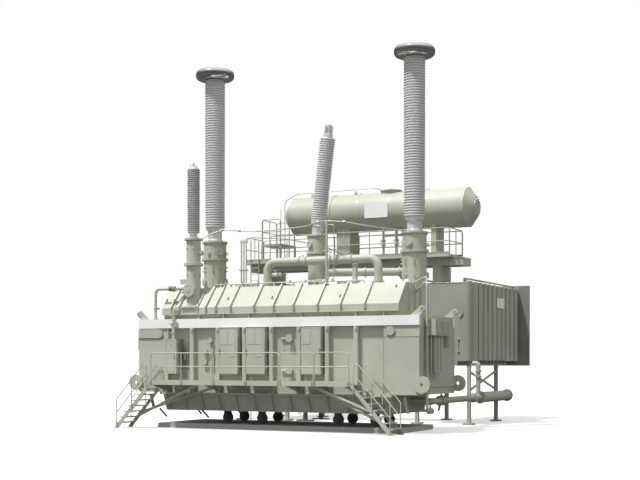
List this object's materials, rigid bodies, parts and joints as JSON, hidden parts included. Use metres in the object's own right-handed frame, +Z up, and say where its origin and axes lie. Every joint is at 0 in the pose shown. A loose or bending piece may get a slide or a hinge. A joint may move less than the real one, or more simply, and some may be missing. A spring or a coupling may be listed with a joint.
{
  "type": "power transformer",
  "caption": "Large oil-filled power transformer on rail wheels with sloped hood, tall bushings, corona shields, walkway, cooler banks and raised conservator.",
  "frame": {"origin": "centre of the slab's underside, at ground level below the middle of the tank", "axes": "+X along the tank to its right end seen from the walkway, +Y to the back towards the coolers, +Z up"},
  "size_m": [13.7399, 15.862, 15.76],
  "materials": {
    "tank_paint": "satin",
    "hood_paint": "satin",
    "fin_paint": "satin",
    "rail_paint": "satin",
    "white_band": "satin",
    "slab_concrete": "matt",
    "black_steel": "matt",
    "insulator_grey": "silicone",
    "polished_metal": "polished"
  },
  "bodies": {
    "transformer": {"bogie_frames": "black_steel", "bottom_oil_pipes": "tank_paint", "cabinet_left": "tank_paint", "cabinet_middle": "tank_paint", "cabinet_right": "tank_paint", "conservator": "tank_paint", "conservator_columns": "tank_paint", "conservator_girders": "tank_paint", "conservator_saddles": "tank_paint", "control_box": "tank_paint", "cooler_base_left": "tank_paint", "cooler_base_right": "tank_paint", "cooler_legs_left": "tank_paint", "cooler_legs_right": "tank_paint", "cooler_panels_left": "fin_paint", "cooler_panels_right": "fin_paint", "corona_shield_left": "polished_metal", "corona_shield_right": "polished_metal", "drain_pipe": "tank_paint", "end_unit": "tank_paint", "front_covers": "tank_paint", "haulage_lugs": "tank_paint", "hood": "hood_paint", "hood_ribs": "hood_paint", "hv_bushing_left": "insulator_grey", "hv_bushing_right": "insulator_grey", "hv_turret_left": "tank_paint", "hv_turret_right": "tank_paint", "ladder": "rail_paint", "lifting_lugs": "tank_paint", "neutral_bushing": "insulator_grey", "neutral_turret": "tank_paint", "platform_deck": "tank_paint", "platform_railings": "rail_paint", "plinth": "slab_concrete", "radiators_left": "fin_paint", "radiators_right": "fin_paint", "rail_wheels": "black_steel", "riser_conduits": "tank_paint", "side_pipe": "tank_paint", "stair_handrails_left": "rail_paint", "stair_handrails_right": "rail_paint", "stair_left": "tank_paint", "stair_right": "tank_paint", "tank_belt": "white_band", "tank_main": "tank_paint", "tank_stiffeners": "tank_paint", "tank_trough": "tank_paint", "tertiary_bushing": "insulator_grey", "tertiary_turret": "tank_paint", "top_oil_pipes": "tank_paint", "upper_platform": "tank_paint", "upper_railings": "rail_paint", "walkway_deck": "tank_paint", "walkway_railing": "rail_paint", "walkway_stays": "tank_paint"},
    "cabinet_door_left": {"cabinet_door_left": "tank_paint"},
    "cabinet_door_middle": {"cabinet_door_middle": "tank_paint"},
    "cabinet_door_right": {"cabinet_door_right": "tank_paint"}
  },
  "joints": [
    {"name": "cabinet_door_left_hinge", "type": "hinge", "parent": "transformer", "child": "cabinet_door_left", "pos_m": [-1.428, -2.166, 3.2], "axis": [0, 0, 1], "range_deg": [0, 110]},
    {"name": "cabinet_door_middle_hinge", "type": "hinge", "parent": "transformer", "child": "cabinet_door_middle", "pos_m": [-0.168, -2.166, 3.2], "axis": [0, 0, 1], "range_deg": [0, 110]},
    {"name": "cabinet_door_right_hinge", "type": "hinge", "parent": "transformer", "child": "cabinet_door_right", "pos_m": [1.428, -2.166, 3.2], "axis": [0, 0, -1], "range_deg": [0, 110]}
  ]
}
